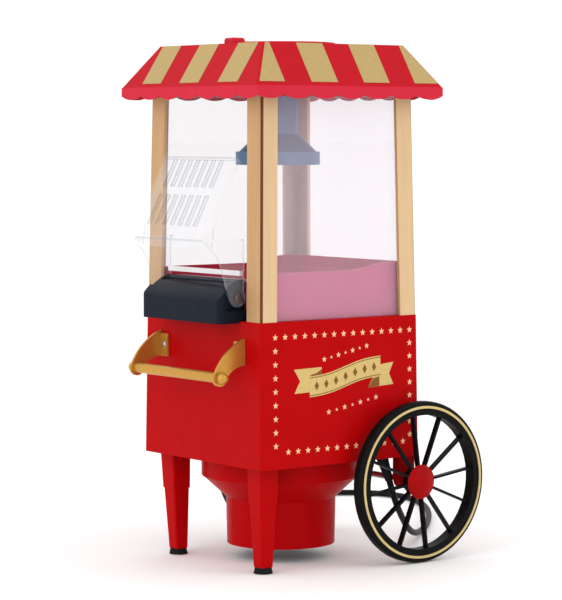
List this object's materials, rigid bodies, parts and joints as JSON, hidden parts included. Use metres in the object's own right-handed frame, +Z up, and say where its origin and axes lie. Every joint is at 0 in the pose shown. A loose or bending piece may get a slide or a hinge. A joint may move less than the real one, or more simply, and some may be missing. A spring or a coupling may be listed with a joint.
{
  "type": "popcorn maker",
  "caption": "Hot-air popcorn maker shaped like a street cart, with striped canopy, glazed cabin, hanging funnel, black chute, tilting clear guard, push handle and spoked wheels.",
  "frame": {"origin": "on the floor, at the middle of the footprint of the whole object without its cord", "axes": "+Z up, -X the serving end with chute and push handle, +X the wheel end, -Y the left side"},
  "size_m": [0.3884, 0.3285, 0.4004],
  "materials": {
    "red_plastic": "gloss",
    "deep_red": "gloss",
    "post_gold": "satin",
    "handle_gold": "satin metallic",
    "ring_gold": "satin",
    "canopy_stripe": "striped red and gold",
    "valance_red": "satin",
    "clear_panel": "clear",
    "clear_guard": "clear",
    "kettle_grey": "satin",
    "chute_black": "gloss",
    "wheel_black": "satin",
    "rubber": "matte",
    "steel": "brushed",
    "aluminium": "satin",
    "basin_red": "gloss",
    "black_plastic": "matte",
    "mica": "matte",
    "brass": "satin",
    "cord_black": "satin",
    "wire": "satin"
  },
  "bodies": {
    "cart": {"body_shell": "red_plastic", "base_plate": "deep_red", "base_screws": "steel", "motor_pedestal": "red_plastic", "intake_grille": "black_plastic", "rubber_feet": "rubber", "wheel_axle": "steel", "axle_nuts": "steel", "window_left": "clear_panel", "window_rear": "clear_panel", "window_right": "clear_panel", "popcorn_basin": "basin_red", "front_chute": "chute_black", "guard_pivots": "steel", "handle_bar": "handle_gold", "handle_finials": "handle_gold", "handle_screws": "steel", "kernel_funnel": "kettle_grey", "roof_frame": "deep_red", "roof_canopy": "canopy_stripe", "roof_valance": "valance_red", "popping_chamber": "aluminium", "chamber_collar": "mica", "heater_boards": "mica", "heater_coil": "brass", "air_duct": "steel", "motor_body": "steel", "motor_bracket": "steel", "thermostat": "mica", "thermal_fuse": "aluminium", "terminal_block": "black_plastic", "inner_wires": "wire", "switch_housing": "black_plastic", "cord_gland": "black_plastic", "power_cord": "cord_black", "cord_coil": "cord_black", "cord_plug": "black_plastic", "front_leg_left": "red_plastic", "front_leg_right": "red_plastic", "axle_bracket_left": "deep_red", "axle_bracket_right": "deep_red", "handle_arm_left": "handle_gold", "handle_arm_right": "handle_gold", "post_front_left": "post_gold", "post_front_right": "post_gold", "post_rear_left": "post_gold", "post_rear_right": "post_gold"},
    "wheel_left": {"wheel_left": "wheel_black", "wheel_ring_left": "ring_gold", "hub_cap_left": "red_plastic"},
    "wheel_right": {"wheel_right": "wheel_black", "wheel_ring_right": "ring_gold", "hub_cap_right": "red_plastic"},
    "guard": {"guard_hood": "clear_guard"},
    "lid": {"measuring_cup": "valance_red"},
    "rocker": {"power_rocker": "black_plastic"},
    "rotor": {"fan_impeller": "black_plastic", "motor_shaft": "steel"}
  },
  "joints": [
    {"name": "wheel_left_spin", "type": "hinge", "parent": "cart", "child": "wheel_left", "pos_m": [0.0611, -0.0887, 0.062], "axis": [0, 1, 0], "continuous": true},
    {"name": "wheel_right_spin", "type": "hinge", "parent": "cart", "child": "wheel_right", "pos_m": [0.0611, 0.0887, 0.062], "axis": [0, 1, 0], "continuous": true},
    {"name": "guard_tilt", "type": "hinge", "parent": "cart", "child": "guard", "pos_m": [-0.0811, 0, 0.2065], "axis": [0, 1, 0], "range_deg": [0, 14]},
    {"name": "lid_lift", "type": "slide", "parent": "cart", "child": "lid", "axis": [0, 0, 1], "range_m": [0, 0.06]},
    {"name": "rocker_press", "type": "hinge", "parent": "cart", "child": "rocker", "pos_m": [0.06997, 0.045, 0.15], "axis": [0, 1, 0], "range_deg": [-14, 0]},
    {"name": "fan_spin", "type": "hinge", "parent": "cart", "child": "rotor", "pos_m": [-0.0046, 0, 0.07], "axis": [0, 0, 1], "continuous": true}
  ]
}
